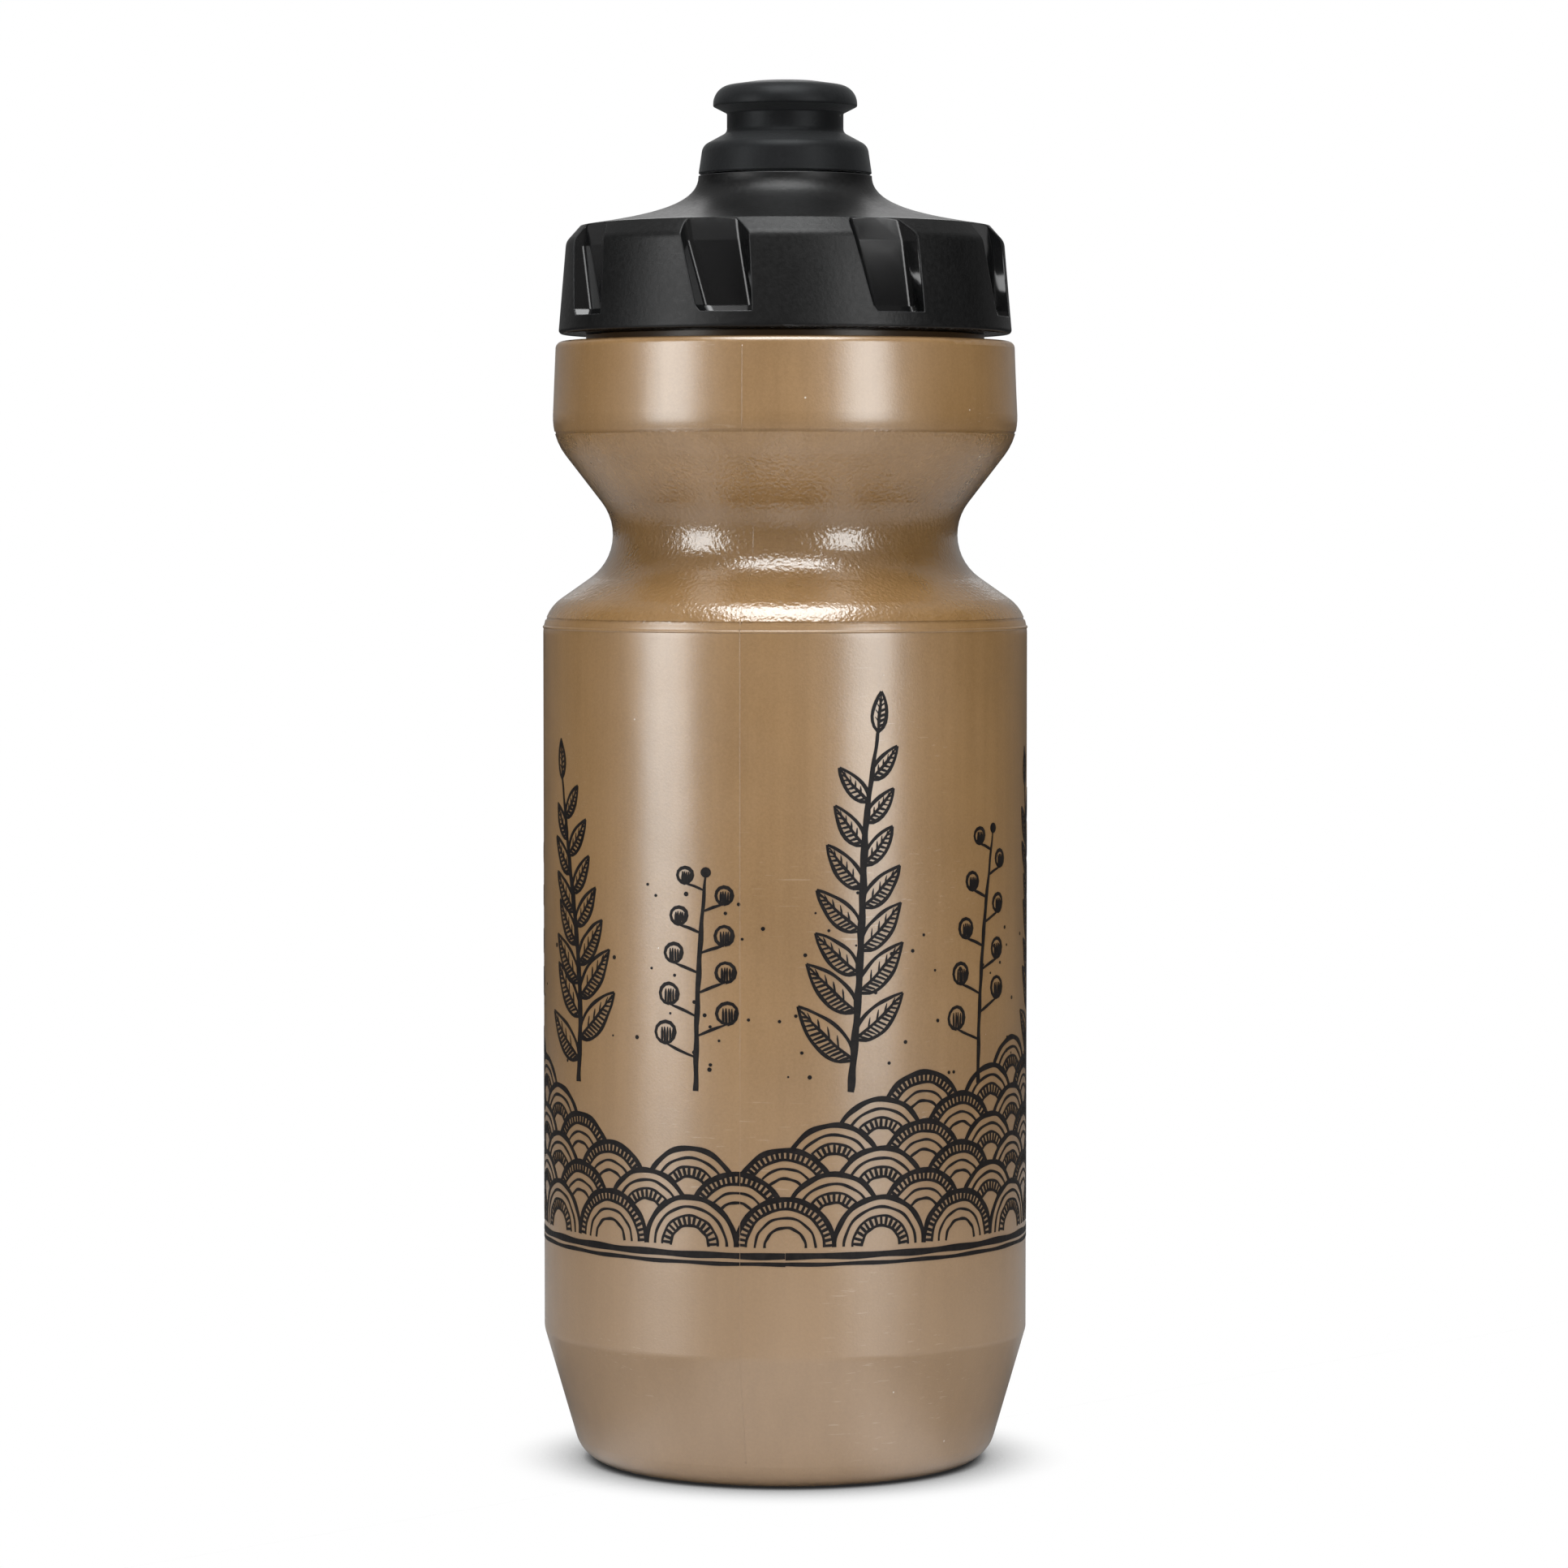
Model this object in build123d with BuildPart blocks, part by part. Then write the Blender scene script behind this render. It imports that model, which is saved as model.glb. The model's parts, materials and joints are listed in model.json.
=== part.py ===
from build123d import *
import math
import os

# Squeeze bottle for a bicycle cage: blow-moulded body, screw lid and push-pull nozzle.
# Millimetres, +Z up, origin on the ground at the centre of the base.

os.makedirs("parts", exist_ok=True)

# ---------------------------------------------------------------- bottle body sizes
body_radius = 37.0
body_wall = 1.2
base_corner_round = 5.0
base_taper_height = 20.3
base_crease_round = 3.0
base_recess_height = 2.8
base_recess_radius = 21.0
base_ring_inner_radius = 25.6
base_ring_width = 5.5
base_recess_round = 1.2
waist_radius = 26.35
waist_height = 141.8
waist_round = 8.05
waist_lower_slope = 54.9
waist_upper_slope = 37.6
body_top_round = 6.5
band_radius = 35.6
band_top_radius = 35.0
band_foot_round = 9.5
band_height = 14.65
shoulder_round = 1.1
mould_ridge_drop = 2.4
mould_ridge_proud = 0.08
mould_ridge_round = 0.25
mould_groove_drop = 1.1
band_groove_rise = 0.75
groove_depth = 0.12
groove_width = 0.4

# ---------------------------------------------------------------- neck and thread sizes
neck_root_radius = 28.0
neck_wall = 2.0
neck_length = 14.1
neck_bead_width = 2.4
neck_bead_height = 0.9
neck_rim_round = 0.5
thread_pitch = 4.0
thread_height = 1.0
thread_root_width = 1.9
thread_crest_width = 0.9
thread_sink = 0.2
thread_segments = 6
thread_segments_per_turn = 4
thread_segment_arc = 70.0
thread_first_angle = 10.0
neck_thread_start = 5.1
thread_clearance = 0.25

# ---------------------------------------------------------------- lid sizes
lid_shoulder_gap = 1.1
lid_skirt_wall = 5.35
lid_edge_round = 0.6
lid_taper = 1.2
lid_chamfer_height = 2.4
lid_chamfer_round = 2.0
lid_chamfer_width = 2.15
lid_plate = 2.35
lid_lead_in = 0.5
dome_height = 7.65
dome_top_radius = 13.22
dome_top_curl = 4.4
dome_rim_reach = 10.4
dome_rim_slope = 8.8
underside_rise = 3.0
seal_wall_thickness = 1.4
seal_wall_depth = 3.0
seal_wall_clearance = 0.4
lid_thread_offset = 0.5

scoop_count = 8
scoop_turn = -14.5
scoop_corner_round = 1.0
scoop_foot = 2.5
scoop_right = 6.3
scoop_bottom_left = -7.0
scoop_bottom_depth = 2.1
scoop_heel_rise = 0.9
scoop_heel_left = -8.3
scoop_heel_depth = 2.5
scoop_heel_lead = 0.09
scoop_heel_lag = 0.02
scoop_knee_drop = 1.0
scoop_knee_left = -12.7
scoop_knee_right = 5.5
scoop_knee_depth = 1.5
scoop_knee_lead = 0.05
scoop_knee_lag = 0.17
scoop_overshoot = 1.5
scoop_run_on = 2.0
scoop_top_left = -15.4
scoop_top_right = 5.8
scoop_top_depth = 2.0
scoop_top_lead = 0.05
scoop_top_lag = 0.23

# ---------------------------------------------------------------- nozzle guide in the lid
guide_radius = 10.0
guide_length = 10.0
guide_mouth_round = 0.4
chimney_bore_radius = 11.0
chimney_wall = 2.0
chimney_clear_of_skirt = 2.0
snap_depth = 0.3
snap_width = 1.0
snap_height = 1.2
snap_slope_width = 0.3

# ---------------------------------------------------------------- closing post sizes
post_ring_wall = 1.4
post_ring_height = 2.5
post_radius = 2.6
post_foot_radius = 4.16
post_foot_round = 1.0
post_head_length = 4.0
post_tip_rise = 0.5
post_tip_round = 0.8
post_spokes = 3
post_spoke_width = 1.8

# ---------------------------------------------------------------- nozzle sizes
nozzle_travel = 6.0
nozzle_rest_gap = 0.3
stop_gap = 0.2
stop_bead_height = 1.4
stop_bead_clearance = 0.2
leg_bore_radius = 7.8
leg_slots = 4
leg_slot_width = 1.4
leg_slot_length = 6.0
flange_radius = 12.0
flange_height = 2.4
web_rise = 4.55
web_thickness = 1.5
seat_radius = 3.3
tube_radius = 7.6
tube_height = 6.6
valve_pocket_radius = 6.3
valve_ledge_radius = 5.0
valve_ledge_rise = 1.6

# ---------------------------------------------------------------- mouthpiece sizes
mouthpiece_height = 14.15
mouthpiece_skirt_radius = 13.22
mouthpiece_skirt_round = 0.2
mouthpiece_shoulder_radius = 12.58
mouthpiece_shoulder_height = 4.3
mouthpiece_shoulder_round = 1.8
mouthpiece_neck_radius = 8.88
mouthpiece_neck_height = 6.3
mouthpiece_neck_round = 1.0
lip_underside_height = 9.2
lip_radius = 10.98
lip_underside_drop = 1.07
lip_underside_round = 0.3
lip_edge_height = 13.15
lip_round = 2.9
drink_hole_radius = 4.2
drink_hole_round = 0.8

# ---------------------------------------------------------------- seals and valve sizes
gasket_thickness = 1.0
gasket_round = 0.25
o_ring_section = 1.34
o_ring_groove_depth = 1.36
o_ring_groove_width = 1.7
o_ring_drop = 7.5
valve_flange_thickness = 0.9
valve_membrane = 0.6
valve_sag = 0.5
valve_dish_share = 0.55
valve_slit_length = 5.4
valve_slit_width = 0.16
retainer_bore_radius = 4.6
retainer_height = 1.9
retainer_chamfer = 0.5

# ---------------------------------------------------------------- fits
running_clearance = 0.08
snug_gap = 0.05
seal_gap = 0.02

# ---------------------------------------------------------------- levels worked from the sizes
base_edge_radius = base_ring_inner_radius + base_ring_width
lower_slope = math.radians(waist_lower_slope)
upper_slope = math.radians(waist_upper_slope)
half_sum = (lower_slope + upper_slope) / 2
half_difference = (upper_slope - lower_slope) / 2
corner_reach = waist_round / math.cos(half_sum)
corner_radius = waist_radius + waist_round - corner_reach * math.cos(half_difference)
corner_height = waist_height + corner_reach * math.sin(half_difference)
body_top = corner_height - (body_radius - corner_radius) / math.tan(lower_slope)
band_foot = corner_height + (band_radius - corner_radius) / math.tan(upper_slope)
shoulder_height = band_foot + band_height
mould_ridge_middle = body_radius + mould_ridge_proud - mould_ridge_round
neck_bead_radius = neck_root_radius + neck_bead_width
neck_top = shoulder_height + neck_length
neck_bore_radius = neck_root_radius - neck_wall
neck_thread_foot = shoulder_height + neck_thread_start
lid_thread_foot = neck_thread_foot - thread_pitch * lid_thread_offset
lid_bottom = shoulder_height + lid_shoulder_gap
lid_ceiling = neck_top + snug_gap + gasket_thickness
lid_rim = lid_ceiling + lid_plate
dome_top = lid_rim + dome_height
lid_chamfer_foot = lid_rim - lid_chamfer_height
lid_bore_radius = neck_root_radius + thread_height + thread_clearance
lid_bottom_radius = lid_bore_radius + lid_skirt_wall
lid_chamfer_radius = lid_bottom_radius - lid_taper
lid_rim_radius = lid_chamfer_radius - lid_chamfer_width
seal_wall_outer = neck_bore_radius - seal_wall_clearance
seal_wall_inner = seal_wall_outer - seal_wall_thickness
chimney_bottom = lid_bottom + chimney_clear_of_skirt
chimney_outer_radius = chimney_bore_radius + chimney_wall
snap_foot = chimney_bottom + snap_height
snap_top = snap_foot + snap_width
guide_step = dome_top - guide_length
nozzle_bottom = dome_top + nozzle_rest_gap
nozzle_top = nozzle_bottom + mouthpiece_height
stop_bead_top = guide_step - nozzle_travel - stop_gap
leg_bottom = stop_bead_top - stop_bead_height
leg_radius = guide_radius - running_clearance
flange_top = nozzle_bottom + flange_height
web_top = nozzle_bottom + web_rise
web_bottom = web_top - web_thickness
tube_top = web_top + tube_height
valve_ledge = web_top + valve_ledge_rise
valve_top = valve_ledge + valve_flange_thickness
valve_radius = valve_pocket_radius - snug_gap
o_ring_level = nozzle_bottom - o_ring_drop
o_ring_groove_radius = leg_radius - o_ring_groove_depth


def around(radius, degrees):
    """Point at a radius, turned from the front (-Y) towards +X."""
    turn = math.radians(degrees)
    return (radius * math.sin(turn), -radius * math.cos(turn))


def thread_ridge(start_radius, outward):
    """One segment of right-hand thread on a wall, crest outward (+1) or inward (-1)."""
    segment_rise = thread_pitch * thread_segment_arc / 360
    with BuildPart() as ridge:
        with BuildLine() as path:
            Helix(thread_pitch, segment_rise, start_radius)
        start = path.line @ 0
        with BuildSketch(Plane(origin=start, x_dir=(outward, 0, 0), z_dir=path.line % 0)):
            with BuildLine():
                Polyline(
                    (-thread_sink, -thread_root_width / 2),
                    (0, -thread_root_width / 2),
                    (thread_height, -thread_crest_width / 2),
                    (thread_height, thread_crest_width / 2),
                    (0, thread_root_width / 2),
                    (-thread_sink, thread_root_width / 2),
                    close=True,
                )
            make_face()
        sweep(path=path.line, is_frenet=True)
    return ridge.part


def thread_places(foot_height):
    """Places of the thread's segments, one after another up the helix."""
    places = []
    for index in range(thread_segments):
        turn = thread_first_angle + index * 360 / thread_segments_per_turn
        rise = foot_height + thread_pitch * turn / 360
        places.append(Location((0, 0, rise), (0, 0, turn)))
    return places


# ---------------------------------------------------------------- bottle body
with BuildSketch(Plane.XZ) as body_section:
    with BuildLine():
        FilletPolyline(
            (0, base_recess_height),
            (base_recess_radius, base_recess_height),
            (base_ring_inner_radius, 0),
            (base_edge_radius, 0),
            (body_radius, base_taper_height),
            (body_radius, body_top),
            (corner_radius, corner_height),
            (band_radius, band_foot),
            (band_top_radius, shoulder_height),
            (0, shoulder_height),
            radius=[
                base_recess_round,
                base_recess_round,
                base_corner_round,
                base_crease_round,
                body_top_round,
                waist_round,
                band_foot_round,
                shoulder_round,
            ],
        )
        Line((0, shoulder_height), (0, base_recess_height))
    make_face()

with BuildSketch(Plane.XZ) as cavity_section:
    add(body_section.sketch_local)
    mirror(about=Plane.YZ)
    offset(amount=-body_wall)
    split(bisect_by=Plane.YZ)

with BuildSketch(Plane.XZ) as groove_floor:
    add(body_section.sketch_local)
    mirror(about=Plane.YZ)
    offset(amount=-groove_depth)

with BuildSketch(Plane.XZ) as groove_section:
    with Locations(
        (body_radius, body_top - mould_groove_drop),
        (body_radius, band_foot + band_groove_rise),
    ):
        Rectangle(body_radius, groove_width)
    add(groove_floor.sketch_local, mode=Mode.SUBTRACT)

neck_foot = shoulder_height - body_wall
with BuildSketch(Plane.XZ) as neck_section:
    with BuildLine():
        Polyline(
            (neck_bore_radius, neck_foot),
            (neck_bead_radius, neck_foot),
            (neck_bead_radius, shoulder_height + neck_bead_height),
            (neck_root_radius, shoulder_height + neck_bead_height),
            (neck_root_radius, neck_top),
            (neck_bore_radius, neck_top),
            close=True,
        )
    make_face()
    rim_corners = neck_section.vertices().group_by(Axis.Y)[-1]
    fillet(rim_corners, radius=min(neck_rim_round, neck_wall / 3))

neck_ridge = thread_ridge(neck_root_radius, 1)

with BuildPart() as bottle_body:
    add(body_section.sketch)
    revolve(axis=Axis.Z)
    add(cavity_section.sketch)
    revolve(axis=Axis.Z, mode=Mode.SUBTRACT)
    with BuildSketch(Plane.XY.offset(neck_foot - body_wall)):
        Circle(neck_bore_radius)
    extrude(amount=neck_top - neck_foot + body_wall, mode=Mode.SUBTRACT)
    add(neck_section.sketch)
    revolve(axis=Axis.Z)
    for place in thread_places(neck_thread_foot):
        with Locations(place):
            add(neck_ridge)
    with BuildSketch(Plane.XZ):
        with Locations((mould_ridge_middle, body_top - mould_ridge_drop)):
            Circle(mould_ridge_round)
    revolve(axis=Axis.Z)
    add(groove_section.sketch)
    revolve(axis=Axis.Z, mode=Mode.SUBTRACT)

bottle_body.part.label = "bottle_body"
export_step(bottle_body.part, "parts/bottle_body.step")


# ---------------------------------------------------------------- screw lid
def scoop_section(height, left, right, floor_depth, lead, lag):
    """Outline of one grip scoop at a height: a flat floor and two side walls that run on past the lid's wall."""
    share = (height - lid_bottom) / (lid_chamfer_foot - lid_bottom)
    wall_radius = lid_bottom_radius + share * (lid_chamfer_radius - lid_bottom_radius)
    floor_radius = wall_radius - floor_depth
    width = right - left
    left_edge = Vector(around(wall_radius, left))
    right_edge = Vector(around(wall_radius, right))
    left_foot = Vector(around(floor_radius, left + width * lead))
    right_foot = Vector(around(floor_radius, right - width * lag))
    run_on = scoop_run_on / floor_depth
    left_end = left_edge + (left_edge - left_foot) * run_on
    right_end = right_edge + (right_edge - right_foot) * run_on
    with BuildSketch(Plane.XY.offset(height)) as section:
        with BuildLine():
            Line(left_end, right_end)
            FilletPolyline(right_end, right_foot, left_foot, left_end, radius=scoop_corner_round)
        make_face()
    return section.sketch


with BuildPart() as scoop_cutter:
    add(scoop_section(lid_bottom + scoop_foot, scoop_bottom_left, scoop_right,
                      scoop_bottom_depth, scoop_heel_lead, scoop_heel_lag))
    add(scoop_section(lid_bottom + scoop_foot + scoop_heel_rise, scoop_heel_left, scoop_right,
                      scoop_heel_depth, scoop_heel_lead, scoop_heel_lag))
    add(scoop_section(lid_chamfer_foot - scoop_knee_drop, scoop_knee_left, scoop_knee_right,
                      scoop_knee_depth, scoop_knee_lead, scoop_knee_lag))
    add(scoop_section(lid_rim + scoop_overshoot, scoop_top_left, scoop_top_right,
                      scoop_top_depth, scoop_top_lead, scoop_top_lag))
    loft(ruled=True)

with BuildSketch(Plane.XZ) as lid_section:
    with BuildLine():
        FilletPolyline(
            (lid_bore_radius + lid_lead_in, lid_bottom),
            (lid_bottom_radius, lid_bottom),
            (lid_chamfer_radius, lid_chamfer_foot),
            (lid_rim_radius, lid_rim),
            radius=[lid_edge_round, lid_chamfer_round],
        )
        rim_rise = dome_rim_reach * math.tan(math.radians(dome_rim_slope))
        Bezier(
            (lid_rim_radius, lid_rim),
            (lid_rim_radius - dome_rim_reach, lid_rim + rim_rise),
            (dome_top_radius, dome_top - dome_top_curl),
            (dome_top_radius, dome_top),
        )
        Polyline(
            (dome_top_radius, dome_top),
            (guide_radius, dome_top),
            (guide_radius, guide_step),
            (chimney_bore_radius, guide_step),
            (chimney_bore_radius, snap_top),
            (chimney_bore_radius + snap_depth, snap_top - snap_slope_width),
            (chimney_bore_radius + snap_depth, snap_foot + snap_slope_width),
            (chimney_bore_radius, snap_foot),
            (chimney_bore_radius, chimney_bottom),
            (chimney_outer_radius, chimney_bottom),
            (chimney_outer_radius, lid_ceiling + underside_rise),
            (seal_wall_inner, lid_ceiling),
            (seal_wall_inner, lid_ceiling - seal_wall_depth),
            (seal_wall_outer, lid_ceiling - seal_wall_depth),
            (seal_wall_outer, lid_ceiling),
            (lid_bore_radius, lid_ceiling),
            (lid_bore_radius, lid_bottom + lid_lead_in),
            (lid_bore_radius + lid_lead_in, lid_bottom),
        )
    make_face()

lid_ridge = thread_ridge(lid_bore_radius, -1)

with BuildPart() as lid_shell:
    add(lid_section.sketch)
    revolve(axis=Axis.Z)
    guide_mouth = lid_shell.edges().filter_by(GeomType.CIRCLE).sort_by(
        lambda edge: abs(edge.radius - guide_radius) + abs(edge.center().Z - dome_top))[0]
    fillet(guide_mouth, radius=guide_mouth_round)
    for place in thread_places(lid_thread_foot):
        with Locations(place):
            add(lid_ridge)
    with PolarLocations(0, scoop_count, start_angle=scoop_turn):
        add(scoop_cutter.part, mode=Mode.SUBTRACT)

lid_shell.part.label = "lid_shell"
export_step(lid_shell.part, "parts/lid_shell.step")

# ---------------------------------------------------------------- closing post in the chimney
ring_radius = chimney_bore_radius - snug_gap
ring_bore = ring_radius - post_ring_wall
post_head_radius = seat_radius - running_clearance
post_tip = web_top + post_tip_rise
with BuildPart() as closing_post:
    with BuildSketch(Plane.XZ) as ring_section:
        with BuildLine():
            Polyline(
                (ring_bore, chimney_bottom),
                (ring_radius, chimney_bottom),
                (ring_radius, snap_foot),
                (ring_radius + snap_depth, snap_foot + snap_slope_width),
                (ring_radius + snap_depth, snap_top - snap_slope_width),
                (ring_radius, snap_top),
                (ring_radius, chimney_bottom + post_ring_height),
                (ring_bore, chimney_bottom + post_ring_height),
                close=True,
            )
        make_face()
    revolve(axis=Axis.Z)
    with BuildSketch(Plane.XZ) as post_section:
        with BuildLine():
            FilletPolyline(
                (0, chimney_bottom),
                (post_foot_radius, chimney_bottom),
                (post_radius, chimney_bottom + post_ring_height + post_radius),
                (post_radius, post_tip - post_head_length - post_head_radius + post_radius),
                (post_head_radius, post_tip - post_head_length),
                (post_head_radius, post_tip),
                (0, post_tip),
                radius=[0, post_foot_round, 0, 0, post_tip_round],
            )
            Line((0, post_tip), (0, chimney_bottom))
        make_face()
    revolve(axis=Axis.Z)
    with BuildSketch(Plane.XY.offset(chimney_bottom)):
        with PolarLocations(ring_bore / 2 + post_ring_wall / 4, post_spokes, start_angle=90):
            Rectangle(ring_bore + post_ring_wall / 2, post_spoke_width)
    extrude(amount=post_ring_height)

closing_post.part.label = "closing_post"
export_step(closing_post.part, "parts/closing_post.step")

# ---------------------------------------------------------------- gasket under the lid
with BuildPart() as lid_gasket:
    with BuildSketch(Plane.XY.offset(neck_top + snug_gap)):
        Circle(lid_bore_radius - snug_gap)
        Circle(seal_wall_outer + snug_gap, mode=Mode.SUBTRACT)
    extrude(amount=gasket_thickness - snug_gap)
    fillet(lid_gasket.edges(), radius=gasket_round)

lid_gasket.part.label = "lid_gasket"
export_step(lid_gasket.part, "parts/lid_gasket.step")

# ---------------------------------------------------------------- nozzle core
with BuildPart() as nozzle_core:
    with BuildSketch(Plane.XZ) as core_section:
        with BuildLine():
            Polyline(
                (leg_bore_radius, leg_bottom),
                (leg_radius, leg_bottom),
                (chimney_bore_radius - stop_bead_clearance, leg_bottom + stop_bead_height / 2),
                (chimney_bore_radius - stop_bead_clearance, stop_bead_top),
                (leg_radius, stop_bead_top),
                (leg_radius, o_ring_level - o_ring_groove_width / 2),
                (o_ring_groove_radius, o_ring_level - o_ring_groove_width / 2),
                (o_ring_groove_radius, o_ring_level + o_ring_groove_width / 2),
                (leg_radius, o_ring_level + o_ring_groove_width / 2),
                (leg_radius, nozzle_bottom),
                (flange_radius, nozzle_bottom),
                (flange_radius, flange_top),
                (tube_radius, web_top),
                (tube_radius, tube_top),
                (valve_pocket_radius, tube_top),
                (valve_pocket_radius, valve_ledge),
                (valve_ledge_radius, valve_ledge),
                (valve_ledge_radius, web_top),
                (seat_radius, web_top),
                (seat_radius, web_bottom),
                (leg_bore_radius, web_bottom),
                close=True,
            )
        make_face()
    revolve(axis=Axis.Z)
    with BuildSketch(Plane.XY.offset(leg_bottom)):
        with PolarLocations(leg_radius, leg_slots, start_angle=45):
            Rectangle(chimney_bore_radius, leg_slot_width)
    extrude(amount=leg_slot_length, mode=Mode.SUBTRACT)

nozzle_core.part.label = "nozzle_core"
export_step(nozzle_core.part, "parts/nozzle_core.step")

# ---------------------------------------------------------------- soft mouthpiece
with BuildPart() as mouthpiece:
    with BuildSketch(Plane.XZ) as mouthpiece_section:
        with BuildLine():
            FilletPolyline(
                (flange_radius + snug_gap, nozzle_bottom),
                (mouthpiece_skirt_radius, nozzle_bottom),
                (mouthpiece_shoulder_radius, nozzle_bottom + mouthpiece_shoulder_height),
                (mouthpiece_neck_radius, nozzle_bottom + mouthpiece_neck_height),
                (mouthpiece_neck_radius, nozzle_bottom + lip_underside_height),
                (lip_radius, nozzle_bottom + lip_underside_height + lip_underside_drop),
                (lip_radius, nozzle_bottom + lip_edge_height),
                (drink_hole_radius, nozzle_top),
                (drink_hole_radius, tube_top + snug_gap),
                (tube_radius + snug_gap, tube_top + snug_gap),
                (tube_radius + snug_gap, web_top + snug_gap),
                (flange_radius + snug_gap, flange_top + snug_gap),
                (flange_radius + snug_gap, nozzle_bottom),
                radius=[
                    0,
                    mouthpiece_skirt_round,
                    mouthpiece_shoulder_round,
                    mouthpiece_neck_round,
                    lip_underside_round,
                    lip_underside_round,
                    lip_round,
                    drink_hole_round,
                    0,
                    0,
                    0,
                    0,
                ],
                close=True,
            )
        make_face()
    revolve(axis=Axis.Z)

mouthpiece.part.label = "mouthpiece"
export_step(mouthpiece.part, "parts/mouthpiece.step")

# ---------------------------------------------------------------- sliding seal of the nozzle
with BuildPart() as nozzle_o_ring:
    o_ring_middle = guide_radius - seal_gap - o_ring_section / 2
    with BuildSketch(Plane.XZ):
        with Locations((o_ring_middle, o_ring_level)):
            Circle(o_ring_section / 2)
    revolve(axis=Axis.Z)

nozzle_o_ring.part.label = "nozzle_o_ring"
export_step(nozzle_o_ring.part, "parts/nozzle_o_ring.step")

# ---------------------------------------------------------------- slit valve
with BuildPart() as slit_valve:
    with BuildSketch(Plane.XZ) as valve_section:
        dish_low = valve_ledge - valve_sag
        with BuildLine():
            Bezier(
                (0, dish_low),
                (retainer_bore_radius * valve_dish_share, dish_low),
                (retainer_bore_radius, valve_ledge),
            )
            Polyline(
                (retainer_bore_radius, valve_ledge),
                (valve_radius, valve_ledge),
                (valve_radius, valve_top),
                (retainer_bore_radius, valve_top),
            )
            Bezier(
                (retainer_bore_radius, valve_top),
                (retainer_bore_radius * valve_dish_share, dish_low + valve_membrane),
                (0, dish_low + valve_membrane),
            )
            Line((0, dish_low + valve_membrane), (0, dish_low))
        make_face()
    revolve(axis=Axis.Z)
    with BuildSketch(Plane.XY.offset(dish_low)):
        Rectangle(valve_slit_length, valve_slit_width)
        Rectangle(valve_slit_width, valve_slit_length)
    extrude(amount=valve_sag + valve_flange_thickness, mode=Mode.SUBTRACT)

slit_valve.part.label = "slit_valve"
export_step(slit_valve.part, "parts/slit_valve.step")

# ---------------------------------------------------------------- ring that holds the valve
with BuildPart() as valve_retainer:
    with BuildSketch(Plane.XY.offset(valve_top)):
        Circle(valve_radius)
        Circle(retainer_bore_radius, mode=Mode.SUBTRACT)
    extrude(amount=retainer_height)
    upper_bore_edge = valve_retainer.edges().group_by(Axis.Z)[-1].sort_by(SortBy.RADIUS)[0]
    chamfer(upper_bore_edge, length=retainer_chamfer)

valve_retainer.part.label = "valve_retainer"
export_step(valve_retainer.part, "parts/valve_retainer.step")
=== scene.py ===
import json
import math
import random

import bmesh
import bpy
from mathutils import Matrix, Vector
from mathutils.bvhtree import BVHTree


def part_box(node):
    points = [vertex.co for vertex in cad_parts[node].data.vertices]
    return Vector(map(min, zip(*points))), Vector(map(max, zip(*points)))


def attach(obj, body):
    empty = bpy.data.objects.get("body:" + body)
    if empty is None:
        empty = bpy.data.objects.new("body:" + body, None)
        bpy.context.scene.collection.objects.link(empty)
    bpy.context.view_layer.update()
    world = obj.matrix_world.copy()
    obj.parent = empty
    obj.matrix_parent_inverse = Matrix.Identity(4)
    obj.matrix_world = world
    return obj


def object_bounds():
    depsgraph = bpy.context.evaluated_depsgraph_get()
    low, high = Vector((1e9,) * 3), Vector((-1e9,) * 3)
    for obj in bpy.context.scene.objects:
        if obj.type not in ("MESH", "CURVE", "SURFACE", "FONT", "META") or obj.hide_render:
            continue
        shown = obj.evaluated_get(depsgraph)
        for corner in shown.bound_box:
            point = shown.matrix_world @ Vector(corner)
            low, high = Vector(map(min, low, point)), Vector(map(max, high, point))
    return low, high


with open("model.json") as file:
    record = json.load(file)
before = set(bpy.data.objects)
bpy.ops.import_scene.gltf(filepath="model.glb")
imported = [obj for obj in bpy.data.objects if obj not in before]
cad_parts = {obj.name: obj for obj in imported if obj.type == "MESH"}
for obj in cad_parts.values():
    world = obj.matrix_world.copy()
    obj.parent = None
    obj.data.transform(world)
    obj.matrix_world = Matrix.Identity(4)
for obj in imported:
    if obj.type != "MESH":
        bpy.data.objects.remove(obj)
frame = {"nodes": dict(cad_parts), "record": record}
cad_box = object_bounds()
MM = 0.001

# ---------------------------------------------------------------- places worked out from the frame
body_low, body_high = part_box("bottle_body")
lid_low, lid_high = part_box("lid_shell")
mounts = {mount["name"]: mount for mount in frame["record"]["mounts"]}
BARREL_RADIUS = mounts["cage_barrel"]["dims"]["r_mm"] * MM
WAIST_HEIGHT = mounts["waist_groove"]["pos_m"][2]
GRIP_LOW = WAIST_HEIGHT - 12.8 * MM
GRIP_HIGH = WAIST_HEIGHT + 15.5 * MM
SEAM_ANGLE = math.radians(-10.4)
OUTSIDE = 100 * MM


def surface_of(node_name):
    """Ray-cast tree of a CAD node's mesh."""
    mesh = frame["nodes"][node_name].data
    corners = [v.co.copy() for v in mesh.vertices]
    return BVHTree.FromPolygons(corners, [tuple(p.vertices) for p in mesh.polygons])


body_surface = surface_of("bottle_body")
lid_surface = surface_of("lid_shell")


def highest_ring(node_name, least_radius):
    """Height of a node's highest corner that lies further than a radius from the axis."""
    corners = (v.co for v in frame["nodes"][node_name].data.vertices)
    return max(c.z for c in corners if math.hypot(c.x, c.y) > least_radius)


RIM_HEIGHT = highest_ring("lid_shell", 0.9 * lid_high.x)
SHOULDER_HEIGHT = highest_ring("bottle_body", 0.9 * BARREL_RADIUS)


def outward(angle):
    """Unit vector at an angle from the front (-Y) towards +X."""
    return Vector((math.sin(angle), -math.cos(angle), 0))


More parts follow.
